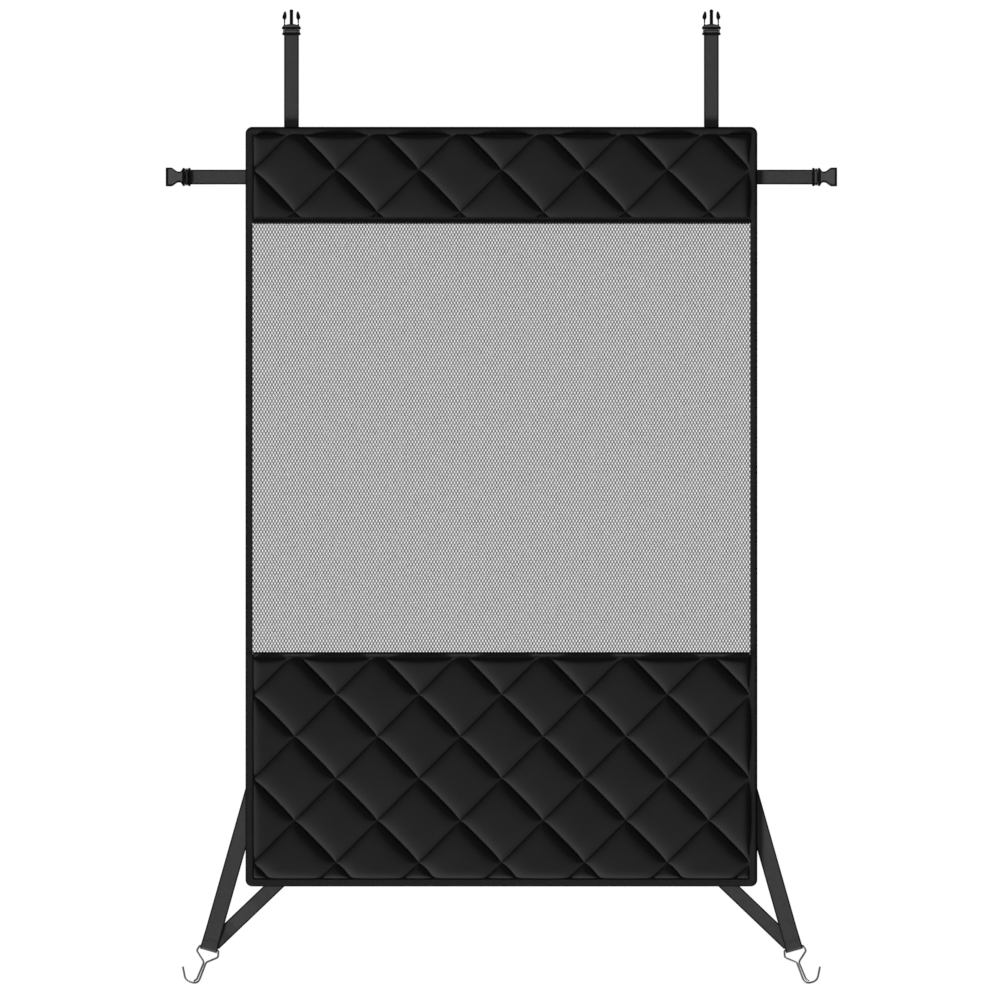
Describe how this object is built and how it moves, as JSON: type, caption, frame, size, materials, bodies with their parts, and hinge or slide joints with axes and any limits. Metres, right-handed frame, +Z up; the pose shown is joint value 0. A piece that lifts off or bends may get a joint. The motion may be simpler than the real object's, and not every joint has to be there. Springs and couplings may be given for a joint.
{
  "type": "car barrier net panel",
  "caption": "Hanging car barrier: a taped net window between quilted pads, with webbing straps, side-release buckle halves and wire hooks on webbing Vs at its lower corners.",
  "frame": {"origin": "middle of the panel's top edge, where the top straps carry it", "axes": "+Z up along the panel, +X to the right seen from the quilted front, -Y out of the quilted front"},
  "size_m": [0.9588, 0.0176, 1.3919],
  "materials": {
    "mesh_net": "knitted polyester mesh",
    "binding_tape": "woven polyester tape",
    "quilted_cover": "plain woven polyester, quilted",
    "lining_cloth": "plain woven polyester",
    "wadding": "bonded polyester wadding",
    "webbing": "ribbed polypropylene webbing",
    "buckle_plastic": "fine matte moulded acetal",
    "hook_wire": "dull bent spring-steel wire"
  },
  "bodies": {
    "panel": {"net_window": "mesh_net", "edge_binding": "binding_tape", "upper_pad_cover": "quilted_cover", "upper_pad_wadding": "wadding", "upper_pad_lining": "lining_cloth", "lower_pad_cover": "quilted_cover", "lower_pad_wadding": "wadding", "lower_pad_lining": "lining_cloth", "upper_seam_tape_front": "binding_tape", "upper_seam_tape_back": "binding_tape", "lower_seam_tape_front": "binding_tape", "lower_seam_tape_back": "binding_tape", "top_strap_root_left": "webbing", "side_strap_root_left": "webbing", "outer_hook_strap_root_left": "webbing", "inner_hook_strap_root_left": "webbing", "top_strap_root_right": "webbing", "side_strap_root_right": "webbing", "outer_hook_strap_root_right": "webbing", "inner_hook_strap_root_right": "webbing"},
    "top_strap_left_body": {"top_strap_left": "webbing", "top_strap_run_left": "webbing"},
    "top_buckle_left_body": {"top_strap_fold_left": "webbing", "top_plug_left": "buckle_plastic"},
    "outer_latch_left_body": {"outer_latch_arm_left": "buckle_plastic"},
    "inner_latch_left_body": {"inner_latch_arm_left": "buckle_plastic"},
    "side_strap_left_body": {"side_strap_left": "webbing", "side_strap_run_left": "webbing"},
    "side_buckle_left_body": {"side_strap_fold_left": "webbing", "side_socket_left": "buckle_plastic"},
    "hook_strap_left_body": {"outer_hook_strap_left": "webbing", "inner_hook_strap_left": "webbing"},
    "wire_hook_left_body": {"wire_hook_left": "hook_wire"},
    "top_strap_right_body": {"top_strap_right": "webbing", "top_strap_run_right": "webbing"},
    "top_buckle_right_body": {"top_strap_fold_right": "webbing", "top_plug_right": "buckle_plastic"},
    "outer_latch_right_body": {"outer_latch_arm_right": "buckle_plastic"},
    "inner_latch_right_body": {"inner_latch_arm_right": "buckle_plastic"},
    "side_strap_right_body": {"side_strap_right": "webbing", "side_strap_run_right": "webbing"},
    "side_buckle_right_body": {"side_strap_fold_right": "webbing", "side_socket_right": "buckle_plastic"},
    "hook_strap_right_body": {"outer_hook_strap_right": "webbing", "inner_hook_strap_right": "webbing"},
    "wire_hook_right_body": {"wire_hook_right": "hook_wire"}
  },
  "joints": [
    {"name": "top_strap_left_fold", "type": "hinge", "parent": "panel", "child": "top_strap_left_body", "pos_m": [-0.3, 0.00375, 0.0065], "axis": [-1, 0, 0], "range_deg": [-130, 130], "stiffness_Nm_per_rad": 0.03},
    {"name": "top_buckle_left_adjust", "type": "slide", "parent": "top_strap_left_body", "child": "top_buckle_left_body", "axis": [0, 0, 1], "range_m": [-0.06, 0.03], "deforming": ["top_strap_run_left"]},
    {"name": "outer_latch_left_squeeze", "type": "hinge", "parent": "top_buckle_left_body", "child": "outer_latch_left_body", "pos_m": [-0.3098, 0.00075, 0.1493], "axis": [0, 1, 0], "range_deg": [0, 8], "stiffness_Nm_per_rad": 0.5},
    {"name": "inner_latch_left_squeeze", "type": "hinge", "parent": "top_buckle_left_body", "child": "inner_latch_left_body", "pos_m": [-0.2902, 0.00075, 0.1493], "axis": [0, -1, 0], "range_deg": [0, 8], "stiffness_Nm_per_rad": 0.5},
    {"name": "side_strap_left_fold", "type": "hinge", "parent": "panel", "child": "side_strap_left_body", "pos_m": [-0.3715, 0.00375, -0.071], "axis": [0, 0, 1], "range_deg": [-130, 130], "stiffness_Nm_per_rad": 0.03},
    {"name": "side_buckle_left_adjust", "type": "slide", "parent": "side_strap_left_body", "child": "side_buckle_left_body", "axis": [-1, 0, 0], "range_m": [-0.03, 0.02], "deforming": ["side_strap_run_left"]},
    {"name": "hook_strap_left_fold", "type": "hinge", "parent": "panel", "child": "hook_strap_left_body", "pos_m": [-0.36672, 0.00375, -1.08839], "axis": [0.8567, 0, -0.5158], "range_deg": [-130, 130]},
    {"name": "wire_hook_left_swing", "type": "hinge", "parent": "hook_strap_left_body", "child": "wire_hook_left_body", "pos_m": [-0.4176, 0.006, -1.1729], "axis": [0.9622, 0, -0.2723], "range_deg": [-100, 100]},
    {"name": "top_strap_right_fold", "type": "hinge", "parent": "panel", "child": "top_strap_right_body", "pos_m": [0.3, 0.00375, 0.0065], "axis": [-1, 0, 0], "range_deg": [-130, 130], "stiffness_Nm_per_rad": 0.03},
    {"name": "top_buckle_right_adjust", "type": "slide", "parent": "top_strap_right_body", "child": "top_buckle_right_body", "axis": [0, 0, 1], "range_m": [-0.06, 0.03], "deforming": ["top_strap_run_right"]},
    {"name": "outer_latch_right_squeeze", "type": "hinge", "parent": "top_buckle_right_body", "child": "outer_latch_right_body", "pos_m": [0.3098, 0.00075, 0.1493], "axis": [0, -1, 0], "range_deg": [0, 8], "stiffness_Nm_per_rad": 0.5},
    {"name": "inner_latch_right_squeeze", "type": "hinge", "parent": "top_buckle_right_body", "child": "inner_latch_right_body", "pos_m": [0.2902, 0.00075, 0.1493], "axis": [0, 1, 0], "range_deg": [0, 8], "stiffness_Nm_per_rad": 0.5},
    {"name": "side_strap_right_fold", "type": "hinge", "parent": "panel", "child": "side_strap_right_body", "pos_m": [0.3715, 0.00375, -0.071], "axis": [0, 0, -1], "range_deg": [-130, 130], "stiffness_Nm_per_rad": 0.03},
    {"name": "side_buckle_right_adjust", "type": "slide", "parent": "side_strap_right_body", "child": "side_buckle_right_body", "axis": [1, 0, 0], "range_m": [-0.03, 0.02], "deforming": ["side_strap_run_right"]},
    {"name": "hook_strap_right_fold", "type": "hinge", "parent": "panel", "child": "hook_strap_right_body", "pos_m": [0.36672, 0.00375, -1.08839], "axis": [0.8567, 0, 0.5158], "range_deg": [-130, 130]},
    {"name": "wire_hook_right_swing", "type": "hinge", "parent": "hook_strap_right_body", "child": "wire_hook_right_body", "pos_m": [0.4176, 0.006, -1.1729], "axis": [0.9622, 0, 0.2723], "range_deg": [-100, 100]}
  ]
}
